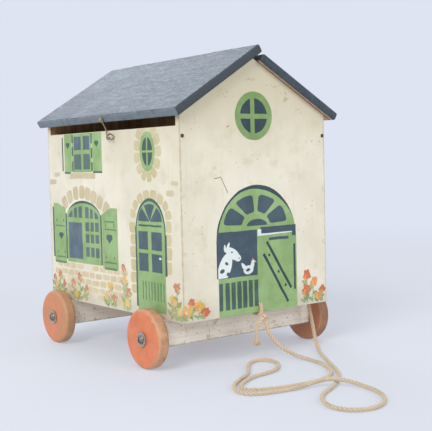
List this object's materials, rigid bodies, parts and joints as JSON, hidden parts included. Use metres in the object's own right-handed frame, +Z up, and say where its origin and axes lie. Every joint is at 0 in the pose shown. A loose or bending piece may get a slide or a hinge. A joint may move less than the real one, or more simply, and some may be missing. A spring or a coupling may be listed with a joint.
{
  "type": "pull-along toy barn",
  "caption": "Plywood toy barn on wooden wheels, with a ridge-hinged roof lid, a hook and eye latch and a cotton pull cord.",
  "frame": {"origin": "on the ground under the middle of the barn, halfway between the axle heads and between the roof ends", "axes": "+X from the lid side to the fixed roof side, +Y along the ridge from the cord gable to the rear, +Z up"},
  "size_m": [0.2548, 0.5138, 0.341],
  "materials": {
    "facade_paint": "matt paint, worn",
    "bare_plywood": "bare",
    "worn_white_paint": "worn paint",
    "roof_paint": "satin paint, worn",
    "wheel_paint": "paint, worn through on the rims",
    "steel": "dull",
    "cotton_cord": "twisted cotton"
  },
  "bodies": {
    "house": {"front_gable": "facade_paint", "rear_gable": "facade_paint", "left_wall": "facade_paint", "right_wall": "facade_paint", "floor_board": "bare_plywood", "front_beam": "worn_white_paint", "rear_beam": "worn_white_paint", "fixed_roof_panel": "roof_paint", "front_hinge_roof_leaf": "steel", "rear_hinge_roof_leaf": "steel", "front_hinge_pin": "steel", "rear_hinge_pin": "steel", "roof_leaf_screws": "steel", "axle_screws": "steel", "inner_washers": "steel", "outer_washers": "steel", "screw_eye": "steel", "front_gable_nails": "steel", "rear_gable_nails": "steel", "floor_nails": "steel", "roof_nails": "steel", "beam_screws": "steel", "pull_cord": "cotton_cord", "cord_loop": "cotton_cord", "cord_knot": "cotton_cord", "cord_tail": "cotton_cord", "cord_stop_knot": "cotton_cord"},
    "lid": {"roof_lid": "roof_paint", "front_hinge_lid_leaf": "steel", "rear_hinge_lid_leaf": "steel", "lid_leaf_screws": "steel", "hook_screw": "steel"},
    "hook": {"latch_hook": "steel"},
    "front_left_wheel": {"front_left_wheel": "wheel_paint"},
    "front_right_wheel": {"front_right_wheel": "wheel_paint"},
    "rear_left_wheel": {"rear_left_wheel": "wheel_paint"},
    "rear_right_wheel": {"rear_right_wheel": "wheel_paint"}
  },
  "joints": [
    {"name": "lid_hinge", "type": "hinge", "parent": "house", "child": "lid", "pos_m": [0.00743, 0, 0.33356], "axis": [0, 1, 0], "range_deg": [0, 150]},
    {"name": "hook_swing", "type": "hinge", "parent": "lid", "child": "hook", "pos_m": [-0.11221, -0.006, 0.26599], "axis": [-0.8497, 0, -0.5273], "range_deg": [-80, 18]},
    {"name": "front_left_wheel_spin", "type": "hinge", "parent": "house", "child": "front_left_wheel", "pos_m": [-0.1155, -0.0935, 0.032], "axis": [1, 0, 0], "continuous": true},
    {"name": "front_right_wheel_spin", "type": "hinge", "parent": "house", "child": "front_right_wheel", "pos_m": [0.1155, -0.0935, 0.032], "axis": [1, 0, 0], "continuous": true},
    {"name": "rear_left_wheel_spin", "type": "hinge", "parent": "house", "child": "rear_left_wheel", "pos_m": [-0.1155, 0.1025, 0.032], "axis": [1, 0, 0], "continuous": true},
    {"name": "rear_right_wheel_spin", "type": "hinge", "parent": "house", "child": "rear_right_wheel", "pos_m": [0.1155, 0.1025, 0.032], "axis": [1, 0, 0], "continuous": true}
  ]
}
